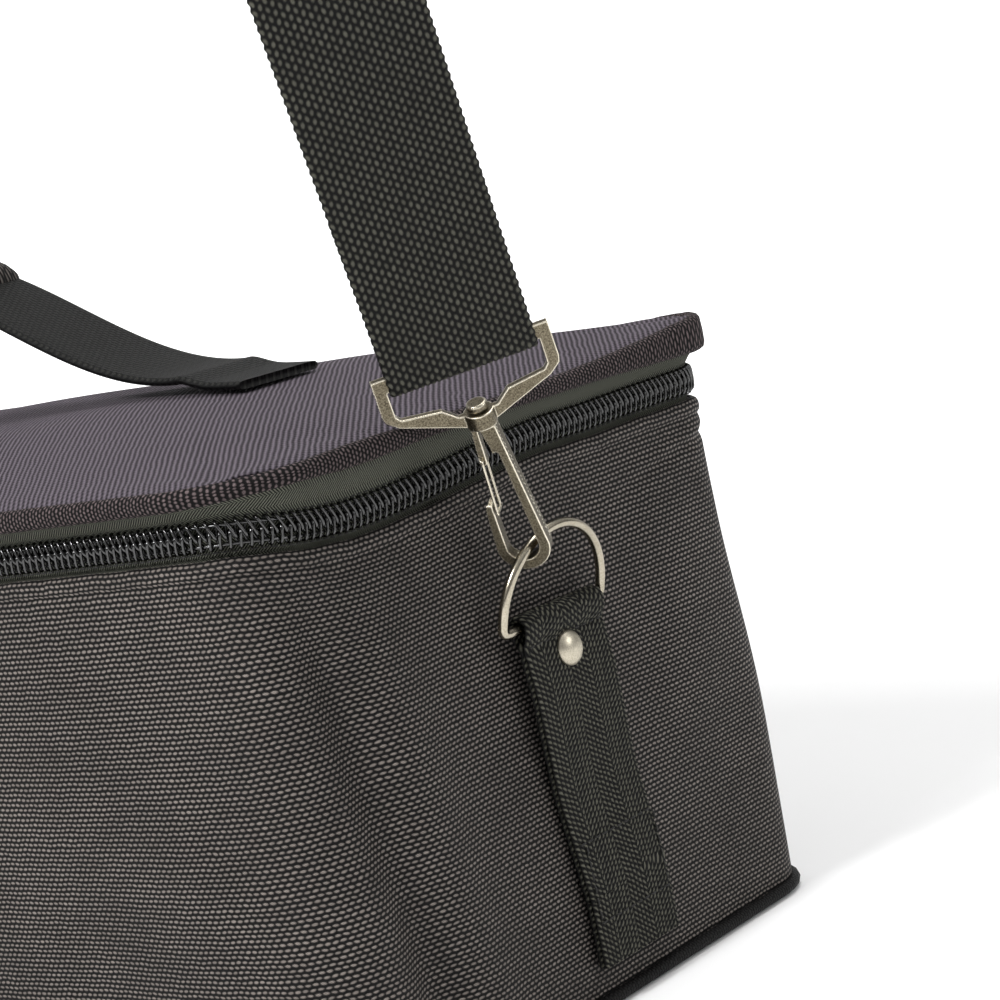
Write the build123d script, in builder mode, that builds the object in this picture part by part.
from build123d import *
import math
import os

# A padded rectangular bag with a zipped, domed lid, a carrying handle and a
# shoulder strap hung on two D-rings.
# Frame: origin at the centre of the base, +Z up, +X along the length of the
# bag, -Y is the front. Right is +X, left is -X. Millimetres.

os.makedirs("parts", exist_ok=True)

# ---------------------------------------------------------------- dimensions
LENGTH = 460.0            # outer length of the fabric wall
WIDTH = 200.0             # outer width of the fabric wall
CORNER = 20.0             # outer radius of the wall corners in plan
END_X, BACK_Y = LENGTH / 2, WIDTH / 2
WALL_BOTTOM, WALL_TOP = 3.0, 147.0
WALL_T = 1.0              # woven canvas
INNER_BOTTOM = 6.3        # foot of the foam and the lining, above the base board
FOAM_GAP = 2.6            # outer face of the wall to the foam
FOAM_T = 6.0
LINING_GAP = FOAM_T + 2.9  # outer face of the wall to the lining
LINING_T = 0.8
SLEEVE_Y = BACK_Y - LINING_GAP - LINING_T - 0.4   # back of the stick sleeves
SLEEVE_LENGTH = 380.0

ZIP_Z = 152.0             # centre line of the zip chain
CHAIN = 7.4               # width of the closed zip chain
COIL_GAP = 0.7            # centre line to each coil
COIL_H = CHAIN / 2 - COIL_GAP
ZIP_BACK = 185.0          # the zip ends at this distance each side on the back
CHAIN_OUT = 0.8           # the chain stands out from the wall
CHAIN_FRONT = -(BACK_Y + CHAIN_OUT)
SLIDER_X = 9.5
PULL_Y = CHAIN_FRONT - 3.0    # axis of the pull's cross bar
PULL_T = 1.5

RIM_OVER = 4.0            # overhang of the lid edge beyond the wall
RIM_LOW, RIM_TOP = 159.5, 164.8
LID_TOP = 180.0
DOME_OVER = 1.2           # overhang of the dome beyond the wall
# Dome stations: setback from the lid's edge, height
DOME = ((0.0, 164.4), (14.0, 166.6), (46.0, 174.0), (78.0, 179.0), (88.0, LID_TOP))

HANDLE_END, HANDLE_RISE = 134.0, 46.0
HANDLE_Z = LID_TOP + 3.2
HANDLE_STEPS = 10         # loft stations per half of the handle
WRAP_LENGTH = 84.0
ANCHOR_X = HANDLE_END + 12.0
ANCHOR_T = 2.0

WEB_T = 1.6               # thickness of one layer of webbing
STRAP_W = 38.0            # shoulder strap webbing
TAB_W = 34.0              # ring tab webbing
TAB_IN_X = END_X + 0.95   # inner face of the tab where it lies on the wall
TAB_OUT_X = TAB_IN_X + 2 * WEB_T
RIVET_Z = 97.0

RING_WIRE = 2.4           # wire of the D-ring
RING_R = 21.0             # centre line radius of the ring's arc
RING_LIMB = 4.0           # top of the straight limb, above the bar
RING_BEND = 2.0           # bend between bar and limb
RING_BEND_MID = 0.586     # offset of the bend's middle from bar and limb lines
RING_TILT = math.radians(18.0)    # the ring leans out from the wall
BAR_X, BAR_Z, RING_Y = 235.5, 106.3, -2.0
BAR_HOLE_R = RING_WIRE / 2 + 0.15


# ---------------------------------------------------------------- shared helpers
def plan_outline(grow, mode=Mode.ADD):
    """Outline of the wall in plan, offset outwards by grow."""
    RectangleRounded(LENGTH + 2 * grow, WIDTH + 2 * grow, CORNER + grow, mode=mode)


def panel(bottom, height, grow):
    """Flat panel that follows the wall's outline."""
    with BuildPart() as piece:
        with BuildSketch(Plane.XY.offset(bottom)):
            plan_outline(grow)
        extrude(amount=height)
    return piece.part


def band(bottom, height, outer, inner):
    """Closed ring that follows the wall's outline."""
    with BuildPart() as piece:
        with BuildSketch(Plane.XY.offset(bottom)):
            plan_outline(outer)
            plan_outline(inner, Mode.SUBTRACT)
        extrude(amount=height)
    return piece.part


def facing_front(y):
    """Upright plane at y whose normal is -Y, so extrusions run forwards."""
    return Plane.XZ.offset(-y)


def mirrored(source):
    with BuildPart() as piece:
        mirror(source, about=Plane.YZ)
    return piece.part


# ---------------------------------------------------------------- body shell
def body_wall():
    """Open tube of canvas."""
    return band(WALL_BOTTOM, WALL_TOP - WALL_BOTTOM, outer=0, inner=-WALL_T)


def top_facing():
    """Band round the outside of the wall, below the zip."""
    return band(140.5, 6.0, outer=0.9, inner=0.15)


def base_panel():
    return panel(0, 2.6, grow=-4.0)


def base_piping():
    with BuildPart() as piping:
        with BuildSketch(Plane.XY.offset(0.4)):
            plan_outline(2.2)
            plan_outline(0.2, Mode.SUBTRACT)
        extrude(amount=4.4)
        fillet(piping.edges().filter_by(Plane.XY), 0.9)
    return piping.part


def base_board():
    return panel(2.9, 3.0, grow=-10.0)


def wall_foam():
    """Padding standing inside the canvas, in one ring."""
    return band(INNER_BOTTOM, 139.5, outer=-FOAM_GAP, inner=-FOAM_GAP - FOAM_T)


def body_lining():
    """Thin tub inside the foam."""
    with BuildPart() as lining:
        with BuildSketch(Plane.XY.offset(INNER_BOTTOM)):
            plan_outline(-LINING_GAP)
        extrude(amount=140.0)
        with BuildSketch(Plane.XY.offset(INNER_BOTTOM + LINING_T)):
            plan_outline(-LINING_GAP - LINING_T)
        extrude(amount=145.0, mode=Mode.SUBTRACT)
    return lining.part


def stick_sleeves():
    """Panel with seven channels along the back wall."""
    with BuildPart() as sleeves:
        with BuildSketch(Plane.XY.offset(8.0)):
            with Locations((0, SLEEVE_Y - 2.6)):
                Rectangle(SLEEVE_LENGTH, 5.2)
            with GridLocations(54.0, 0, 7, 1):
                with Locations((0, SLEEVE_Y - 2.7)):
                    Rectangle(50.0, 3.2, mode=Mode.SUBTRACT)
        extrude(amount=96.0)
    return sleeves.part


def sleeve_elastic():
    """Elastic band that holds the tips above the sleeves."""
    with BuildPart() as elastic:
        with BuildSketch(Plane.XY.offset(112.0)):
            with Locations((0, SLEEVE_Y - 1.0)):
                Rectangle(SLEEVE_LENGTH, 1.6)
        extrude(amount=20.0)
    return elastic.part


# ---------------------------------------------------------------- zip
def zip_run(bottom, height, outer, inner):
    """Ring round the front and both ends, cut away between the zip's ends on the back."""
    with BuildPart() as run:
        with BuildSketch(Plane.XY.offset(bottom)):
            plan_outline(outer)
            plan_outline(inner, Mode.SUBTRACT)
        extrude(amount=height)
        with BuildSketch(Plane.XY.offset(100.0)):
            with Locations((0, BACK_Y)):
                Rectangle(2 * ZIP_BACK, 30.0)
        extrude(amount=100.0, mode=Mode.SUBTRACT)
    return run.part


def zip_tape(bottom, height):
    return zip_run(bottom, height, outer=-1.4, inner=-2.2)


def zip_coil(bottom):
    return zip_run(bottom, COIL_H, outer=CHAIN_OUT, inner=-1.3)


def zip_end_stops():
    """Stops over the two ends of the chain, on the body side."""
    with BuildPart() as stops:
        with BuildSketch(Plane.XY.offset(ZIP_Z - 4.6)):
            stop_x, stop_y = ZIP_BACK - 4.2, BACK_Y - 0.1
            with Locations((stop_x, stop_y), (-stop_x, stop_y)):
                Rectangle(6.0, 2.4)
        extrude(amount=4.4)
        fillet(stops.edges().filter_by(Axis.Z), 0.8)
    return stops.part


def hinge_strip():
    """Canvas strip along the back, between the ends of the zip."""
    with BuildPart() as strip:
        with BuildSketch(Plane.XY.offset(WALL_TOP + 0.4)):
            with Locations((0, BACK_Y - 0.6)):
                Rectangle(2 * ZIP_BACK - 16.0, 1.2)
        extrude(amount=4.6)
    return strip.part


def zip_slider(x):
    """Front and back plates joined by a thin post, with a bridge for the pull."""
    with BuildPart() as slider:
        # front plate
        with BuildSketch(facing_front(CHAIN_FRONT - 0.45)):
            with Locations((x, ZIP_Z)):
                RectangleRounded(13.0, 10.4, 3.0)
        extrude(amount=1.5)
        # back plate
        with BuildSketch(facing_front(CHAIN_FRONT + 4.7)):
            with Locations((x, ZIP_Z)):
                RectangleRounded(13.0, 9.0, 3.0)
        extrude(amount=1.3)
        # post between the coils
        with BuildSketch(facing_front(CHAIN_FRONT + 3.6)):
            with Locations((x, ZIP_Z)):
                Rectangle(3.0, 0.9)
        extrude(amount=4.3)
        # bridge: two feet, then a bar along the chain
        with BuildSketch(facing_front(CHAIN_FRONT - 1.9)):
            with Locations((x - 4.4, ZIP_Z), (x + 4.4, ZIP_Z)):
                Rectangle(1.6, 2.6)
        extrude(amount=2.2)
        with BuildSketch(facing_front(CHAIN_FRONT - 4.1)):
            with Locations((x, ZIP_Z)):
                Rectangle(10.4, 2.6)
        extrude(amount=1.1)
    return slider.part


def zip_pull(x, side):
    """Cross bar under the bridge, a two-armed eye and a flat tab, pointing to side (+1, -1)."""
    with BuildPart() as pull:
        with BuildSketch(Plane.XY.offset(ZIP_Z - 4.0)):
            with Locations((x, PULL_Y)):
                Circle(PULL_T / 2)
        extrude(amount=8.0)
        with BuildSketch(facing_front(PULL_Y + PULL_T / 2)):
            arm_x = x + side * 4.2
            with Locations((arm_x, ZIP_Z + 3.25), (arm_x, ZIP_Z - 3.25)):
                Rectangle(9.2, 1.5)
            with Locations((x + side * 19.0, ZIP_Z)):
                RectangleRounded(21.0, 8.0, 2.6)
            with Locations((x + side * 25.6, ZIP_Z)):
                Circle(1.6, mode=Mode.SUBTRACT)
        extrude(amount=PULL_T)
    return pull.part


# ---------------------------------------------------------------- lid
def lid_binding():
    """Stiff edge that overhangs the zip."""
    with BuildPart() as binding:
        with BuildSketch(Plane.XY.offset(RIM_LOW)):
            plan_outline(RIM_OVER)
            plan_outline(RIM_OVER - 2.5, Mode.SUBTRACT)
        extrude(amount=RIM_TOP - RIM_LOW)
        # the longest eight edges are the straight ones of the outer outline
        # and the longest of the inner one
        fillet(binding.edges().filter_by(Plane.XY).sort_by(SortBy.LENGTH)[-8:], 0.8)
    return binding.part


def loft_dome(inset, drop, bottom):
    """Loft the dome into the current part, moved in by inset and down by drop."""
    rings = []
    for setback, z in [(0.0, bottom)] + [(setback, z - drop) for setback, z in DOME]:
        grow = DOME_OVER - inset - setback
        corner = CORNER + DOME_OVER - inset - setback * 0.12
        with BuildSketch(Plane.XY.offset(z)) as ring:
            RectangleRounded(LENGTH + 2 * grow, WIDTH + 2 * grow, corner)
        rings.append(ring.sketch)
    loft(rings, ruled=True)


def lid_canvas():
    with BuildPart() as hollow:
        loft_dome(inset=1.0, drop=1.0, bottom=162.0)
    with BuildPart() as canvas:
        loft_dome(inset=0.0, drop=0.0, bottom=162.8)
        add(hollow.part, mode=Mode.SUBTRACT)
    return canvas.part


def lid_foam():
    with BuildPart() as foam:
        loft_dome(inset=1.3, drop=1.3, bottom=162.8)
    return foam.part


def lid_lining():
    return panel(161.2, 0.8, grow=-3.0)


def lid_pocket():
    """Mesh pocket under the lid."""
    with BuildPart() as pocket:
        with BuildSketch(Plane.XY.offset(159.6)):
            RectangleRounded(330.0, 130.0, 12.0)
        extrude(amount=1.2)
    return pocket.part


def handle_section(t):
    """Webbing section at the fraction t of the handle's half length."""
    x = HANDLE_END * t
    z = HANDLE_Z + HANDLE_RISE * (0.5 + 0.5 * math.cos(math.pi * t))
    slope = -HANDLE_RISE * 0.5 * math.pi / HANDLE_END * math.sin(math.pi * t)
    with BuildSketch(Plane(origin=(x, 0, z), x_dir=(0, 1, 0), z_dir=(1, 0, slope))) as section:
        Rectangle(32.0, 2.2)
    return section.sketch


def lid_handle():
    """Webbing arch standing on the lengthwise centre line of the lid."""
    steps = range(-HANDLE_STEPS, HANDLE_STEPS + 1)
    with BuildPart() as handle:
        loft([handle_section(step / HANDLE_STEPS) for step in steps], ruled=True)
    return handle.part


def handle_wrap():
    """Hand wrap round the middle of the handle."""
    with BuildPart() as wrap:
        with BuildSketch(Plane.YZ.offset(-WRAP_LENGTH / 2)):
            with Locations((0, HANDLE_Z + 41.0)):
                RectangleRounded(39.0, 19.0, 6.0)
                Rectangle(33.4, 14.6, mode=Mode.SUBTRACT)
        extrude(amount=WRAP_LENGTH)
    return wrap.part


def handle_anchors():
    """Patches with two rivets each at the handle's ends."""
    patch_z = LID_TOP + 0.2
    with BuildPart() as anchors:
        with BuildSketch(Plane.XY.offset(patch_z)):
            with Locations((ANCHOR_X, 0), (-ANCHOR_X, 0)):
                RectangleRounded(20.0, 34.0, 2.0)
        extrude(amount=ANCHOR_T)
        with BuildSketch(Plane.XY.offset(patch_z + ANCHOR_T)):
            with Locations((ANCHOR_X, 9.0), (-ANCHOR_X, 9.0),
                           (ANCHOR_X, -9.0), (-ANCHOR_X, -9.0)):
                Circle(4.2)
        extrude(amount=1.0, taper=30)
    return anchors.part


# ---------------------------------------------------------------- ring tab, right
def strap_tab():
    """Webbing folded over the ring's bar; its lower end lies along the wall."""
    with BuildPart() as tab:
        with BuildSketch(facing_front(TAB_W / 2)):
            with BuildLine():
                Polyline(
                    (TAB_IN_X, 12.0), (TAB_OUT_X, 12.0), (TAB_OUT_X, 58.0),
                    (BAR_X + WEB_T, 88.0), (BAR_X + WEB_T, 103.6),
                    (BAR_X - WEB_T, 103.6), (BAR_X - WEB_T, 88.0),
                    (TAB_IN_X, 60.0), close=True)
            make_face()
            with Locations((BAR_X, BAR_Z)):
                Circle(BAR_HOLE_R + WEB_T)
                Circle(BAR_HOLE_R, mode=Mode.SUBTRACT)
        extrude(amount=TAB_W)
        # rivet hole
        with BuildSketch(Plane.YZ.offset(BAR_X - 6)):
            with Locations((0, RIVET_Z)):
                Circle(1.55)
        extrude(amount=12.0, mode=Mode.SUBTRACT)
    return tab.part


def tab_rivet():
    # offset from the bar, radius, length: inner head, shank, outer head
    discs = ((-2.6, 3.6, 0.9), (-2.0, 1.5, 4.2), (1.7, 4.75, 2.5))
    with BuildPart() as rivet:
        for offset, radius, length in discs:
            with BuildSketch(Plane.YZ.offset(BAR_X + offset)):
                with Locations((0, RIVET_Z)):
                    Circle(radius)
            extrude(amount=length)
        # dome the outer head
        fillet(rivet.edges().filter_by(GeomType.CIRCLE).group_by(Axis.X)[-1], 2.1)
    return rivet.part


def d_ring():
    """One wire bent to a bar, two limbs and an arc."""
    origin = (BAR_X, RING_Y, BAR_Z)
    ring_plane = Plane(origin=origin, x_dir=(0, 1, 0),
                       z_dir=(math.cos(RING_TILT), 0, -math.sin(RING_TILT)))
    bar_end = (RING_R - RING_BEND, 0)
    limb_foot, limb_top = (RING_R, RING_BEND), (RING_R, RING_LIMB)
    diagonal = RING_R * math.sin(math.pi / 4)
    with BuildPart() as ring:
        # one half of the ring, then its mirror image
        with BuildLine(ring_plane) as half_ring:
            Line((0, 0), bar_end)
            ThreePointArc(bar_end, (RING_R - RING_BEND_MID, RING_BEND_MID), limb_foot)
            Line(limb_foot, limb_top)
            ThreePointArc(limb_top, (diagonal, RING_LIMB + diagonal), (0, RING_LIMB + RING_R))
        with BuildSketch(Plane(origin=origin, x_dir=(1, 0, 0), z_dir=(0, 1, 0))):
            Circle(RING_WIRE / 2)
        sweep(path=half_ring.wires()[0])
        mirror(about=Plane(origin=(0, RING_Y, 0), x_dir=(1, 0, 0), z_dir=(0, 1, 0)))
    return ring.part


# ---------------------------------------------------------------- snap hook, right
# The hook hangs from the strap's end frame and its eye holds the ring.
def heading(angle):
    """Horizontal direction at an angle from +X."""
    return Vector(math.cos(angle), math.sin(angle), 0)


def square_to(axis, direction):
    """Direction with its share along the axis taken out."""
    return (direction - axis * direction.dot(axis)).normalized()


EYE_ANGLE = math.radians(-32.0)           # place on the ring's arc, from its top
EYE_REACH = RING_LIMB + RING_R * math.cos(EYE_ANGLE)
EYE = Vector(BAR_X + EYE_REACH * math.sin(RING_TILT),
             RING_Y + RING_R * math.sin(EYE_ANGLE),
             BAR_Z + EYE_REACH * math.cos(RING_TILT))
BARREL = Vector(248.5, -28.0, 161.5)      # bottom of the swivel barrel
WIRE_ASIDE = 1.0                          # ring wire sits beside the hook's centre line
HOOK_HEADING = heading(math.radians(22))
UP = (BARREL - EYE + HOOK_HEADING * WIRE_ASIDE).normalized()   # axis of the swivel
HOOK_X = square_to(UP, HOOK_HEADING)
HOOK = Plane(origin=BARREL, x_dir=HOOK_X, z_dir=HOOK_X.cross(UP))
BOW_Y = 1.3 - (BARREL - EYE).dot(UP)      # centre of the bow, below the barrel
GATE_PIVOT = (-2.95, -9.7)                # in the hook's plane, like GATE_TIP
GATE_TIP = (-3.45, -25.6)

POST_D = 4.0                              # swivel post
FRAME_X = square_to(UP, heading(math.radians(46)))
FRAME_Z = FRAME_X.cross(UP)
FRAME = Plane(origin=BARREL, x_dir=FRAME_X, z_dir=FRAME_Z)
FRAME_TOP, WINDOW_TOP = 21.4, 17.5
TOP_BAR = BARREL + UP * ((FRAME_TOP + WINDOW_TOP) / 2)


def across_swivel(rise):
    """Plane square to the swivel axis, at a rise above the barrel's bottom."""
    return Plane(origin=BARREL + UP * rise, x_dir=HOOK_X, z_dir=UP)


def hook_body():
    with BuildPart() as body:
        # shoulder, shank, bow and nose
        with BuildSketch(HOOK):
            with BuildLine():
                Polyline((-1.0, -0.8), (-3.3, -0.8), (-3.3, -0.05), (3.3, -0.05), (7.0, BOW_Y))
                ThreePointArc((7.0, BOW_Y), (0, BOW_Y - 7.0), (-7.0, BOW_Y))
                Polyline((-7.0, BOW_Y), (-6.3, -24.0), (-5.6, -23.0), (-4.4, -23.4),
                         (-4.3, BOW_Y + 0.3))
                ThreePointArc((-4.3, BOW_Y + 0.3), (0, BOW_Y - 4.0), (4.2, BOW_Y + 0.3))
                Polyline((4.2, BOW_Y + 0.3), (1.9, -8.2), (1.2, -7.6), (0.5, -8.0), (-1.0, -0.8))
            make_face()
        extrude(amount=1.8, both=True)
        # thinner arm that carries the gate's pivot
        with BuildSketch(HOOK):
            with BuildLine():
                Polyline((-3.3, -0.1), (-1.2, -0.1), (-1.6, -1.6), (-1.9, -11.0),
                         (-3.0, -11.7), (-4.0, -11.0), (-3.3, -0.1))
            make_face()
        extrude(amount=1.2, both=True)
        with BuildSketch(HOOK.offset(-3)):
            with Locations(GATE_PIVOT):
                Circle(0.56)
        extrude(amount=6.0, mode=Mode.SUBTRACT)
    return body.part


def hook_gate():
    """Pivot pin, closing bar and the two wires that join them."""
    with BuildPart() as gate:
        with BuildSketch(HOOK.offset(-2.4)):
            with Locations(GATE_PIVOT):
                Circle(0.5)
            with Locations(GATE_TIP):
                Circle(0.5)
        extrude(amount=4.8)
        for z in (-1.9, 1.9):
            start = HOOK.from_local_coords(Vector(*GATE_PIVOT, z))
            wire = HOOK.from_local_coords(Vector(*GATE_TIP, z)) - start
            with BuildSketch(Plane(origin=start, z_dir=wire.normalized())):
                Circle(0.41)
            extrude(amount=wire.length)
    return gate.part


def swivel_post():
    with BuildPart() as post:
        with BuildSketch(across_swivel(-0.05)):
            Circle(POST_D / 2)
        extrude(amount=4.5)
        # head
        with BuildSketch(across_swivel(4.4)):
            Circle(2.7)
        extrude(amount=2.2)
        fillet(post.edges().filter_by(GeomType.CIRCLE).group_by(SortBy.RADIUS)[-1], 0.6)
    return post.part


def hook_frame():
    """Plate with a window for the webbing and a barrel for the post."""
    with BuildPart() as frame:
        with BuildSketch(FRAME):
            with BuildLine():
                Polyline(
                    (-3.4, 0.6), (-19.8, 7.2), (-22.6, 9.6), (-23.0, 11.5),
                    (-22.8, FRAME_TOP), (22.8, FRAME_TOP), (23.0, 11.5),
                    (22.6, 9.6), (19.8, 7.2), (3.4, 0.6), (-3.4, 0.6))
            make_face()
            with BuildLine():
                Polyline(
                    (-19.7, WINDOW_TOP), (19.7, WINDOW_TOP), (19.7, 10.4), (18.6, 9.0),
                    (8.6, 7.6), (5.0, 4.3), (-5.0, 4.3), (-8.6, 7.6),
                    (-18.6, 9.0), (-19.7, 10.4), (-19.7, WINDOW_TOP))
            make_face(mode=Mode.SUBTRACT)
        extrude(amount=0.95, both=True)
        with BuildSketch(Plane(origin=BARREL + UP * 0.1, x_dir=FRAME_X, z_dir=UP)):
            Circle(3.9)
        extrude(amount=4.2)
        with BuildSketch(Plane(origin=BARREL - UP * 1.0, x_dir=FRAME_X, z_dir=UP)):
            Circle(POST_D / 2 + 0.08)
        extrude(amount=8.0, mode=Mode.SUBTRACT)
    return frame.part


# ---------------------------------------------------------------- shoulder strap
# One length of webbing: straight up from each frame, then turned and arched over.
STRAIGHT_RISES = (3.4, 30, 60, 90)        # stations above the frame's top bar
STRAIGHT_END = 112.0
ARCH_FRACTIONS = (0.1, 0.2, 0.3, 0.38, 0.46, 0.54, 0.62, 0.7, 0.78, 0.86, 0.93, 1.0)
TURN_END = 0.42           # fraction of the arch where the webbing has turned to face Y
PAD_REACH = 140.0         # the pad takes the arch stations nearer the middle than this
PAD_LIFT = -5.6           # offset of the pad's middle from the webbing's
FOLD_W = 37.8
ADJUSTER_RISE = 72        # middle of the adjuster above the top bar
ADJUSTER_H = 22.0


def strap_stations():
    """Right half of the strap, upwards: point, width direction, direction of travel."""
    foot = TOP_BAR + UP * STRAIGHT_END
    stations = [(TOP_BAR + UP * rise, FRAME_X, UP) for rise in STRAIGHT_RISES]
    stations.append((foot, FRAME_X, UP))
    with BuildLine() as arch:
        Spline(foot,
               Vector(foot.X + 1, foot.Y - 22, foot.Z + 62),
               Vector(foot.X - 28, foot.Y - 31, foot.Z + 124),
               Vector(158, foot.Y - 36, foot.Z + 176),
               Vector(0, foot.Y - 38, foot.Z + 200),
               tangents=(UP, Vector(-1, 0, 0)))
    edge = arch.edges()[0]
    start_angle, end_angle = math.atan2(FRAME_X.Y, FRAME_X.X), math.pi / 2
    for t in ARCH_FRACTIONS:
        tangent = edge.tangent_at(t)
        # smooth turn of the width direction towards +Y
        turn = min(1.0, t / TURN_END)
        turn = turn * turn * (3 - 2 * turn)
        across = heading(start_angle + (end_angle - start_angle) * turn)
        stations.append((edge.position_at(t), square_to(tangent, across), tangent))
    return stations


def strap_section(point, across, along, width, thickness, lift):
    origin = point + across.cross(along) * lift
    with BuildSketch(Plane(origin=origin, x_dir=across, z_dir=along)) as section:
        Rectangle(width, thickness)
    return section.sketch


def loft_strap(right_half, width, thickness, lift=0.0):
    """Loft through the right half's stations, then down their mirror images."""
    left_half = [
        (Vector(-p.X, p.Y, p.Z), Vector(-across.X, across.Y, across.Z),
         Vector(along.X, -along.Y, -along.Z))
        for p, across, along in reversed(right_half[:-1])]
    with BuildPart() as piece:
        loft([strap_section(*station, width, thickness, lift)
              for station in right_half + left_half], ruled=True)
    return piece.part


def strap_webbing():
    return loft_strap(strap_stations(), STRAP_W, WEB_T)


def shoulder_pad():
    """Pad under the top of the arch."""
    top = [station for station in strap_stations() if abs(station[0].X) < PAD_REACH]
    return loft_strap(top, 62.0, 8.0, PAD_LIFT)


def strap_fold():
    """Folded end of the webbing, wrapped round the frame's top bar."""
    with BuildPart() as fold:
        with BuildSketch(Plane(origin=TOP_BAR + FRAME_X * (FOLD_W / 2),
                               x_dir=FRAME_Z, z_dir=FRAME_X * -1)):
            with BuildLine():
                Polyline(
                    (3.0, -3.9), (-3.9, -3.9), (-3.9, 4.0), (-2.9, 44.0), (-1.3, 44.0),
                    (-2.3, 4.0), (-2.3, -2.3), (1.4, -2.3), (1.4, 2.6), (3.0, 2.6), close=True)
            make_face()
        extrude(amount=FOLD_W)
    return fold.part


def strap_adjuster():
    """Three-bar adjuster, modelled on the right leg and mirrored to the left."""
    middle = Plane(origin=TOP_BAR + UP * ADJUSTER_RISE, x_dir=FRAME_X, z_dir=UP)
    with BuildPart() as adjuster:
        with BuildSketch(middle.offset(-ADJUSTER_H / 2)):
            RectangleRounded(47.0, 7.6, 1.6)
            Rectangle(39.6, 3.2, mode=Mode.SUBTRACT)
        extrude(amount=ADJUSTER_H)
        # two windows leave the three bars
        for window_bottom in (-7.8, 2.4):
            with BuildSketch(middle.offset(window_bottom)):
                Rectangle(39.6, 12.0)
            extrude(amount=5.4, mode=Mode.SUBTRACT)
    return mirrored(adjuster.part)


# ---------------------------------------------------------------- write the parts
parts = {
    "body_wall": body_wall(),
    "top_facing": top_facing(),
    "base_panel": base_panel(),
    "base_piping": base_piping(),
    "base_board": base_board(),
    "wall_foam": wall_foam(),
    "body_lining": body_lining(),
    "stick_sleeves": stick_sleeves(),
    "sleeve_elastic": sleeve_elastic(),
    "zip_tape_body": zip_tape(bottom=141.0, height=9.0),
    "zip_tape_lid": zip_tape(bottom=154.0, height=8.4),
    "zip_coil_body": zip_coil(bottom=ZIP_Z - CHAIN / 2),
    "zip_coil_lid": zip_coil(bottom=ZIP_Z + COIL_GAP),
    "zip_end_stops": zip_end_stops(),
    "hinge_strip": hinge_strip(),
    "zip_slider_right": zip_slider(SLIDER_X),
    "zip_slider_left": zip_slider(-SLIDER_X),
    "zip_pull_right": zip_pull(SLIDER_X, side=1),
    "zip_pull_left": zip_pull(-SLIDER_X, side=-1),
    "lid_binding": lid_binding(),
    "lid_canvas": lid_canvas(),
    "lid_foam": lid_foam(),
    "lid_lining": lid_lining(),
    "lid_pocket": lid_pocket(),
    "lid_handle": lid_handle(),
    "handle_wrap": handle_wrap(),
    "handle_anchors": handle_anchors(),
    "strap_webbing": strap_webbing(),
    "shoulder_pad": shoulder_pad(),
    "strap_adjuster": strap_adjuster(),
}

# modelled on the right, mirrored to the left
for build in (strap_tab, tab_rivet, d_ring, hook_body, hook_gate, swivel_post,
              hook_frame, strap_fold):
    right = build()
    parts[f"{build.__name__}_right"] = right
    parts[f"{build.__name__}_left"] = mirrored(right)

for name, part in parts.items():
    part.label = name
    export_step(part, f"parts/{name}.step")
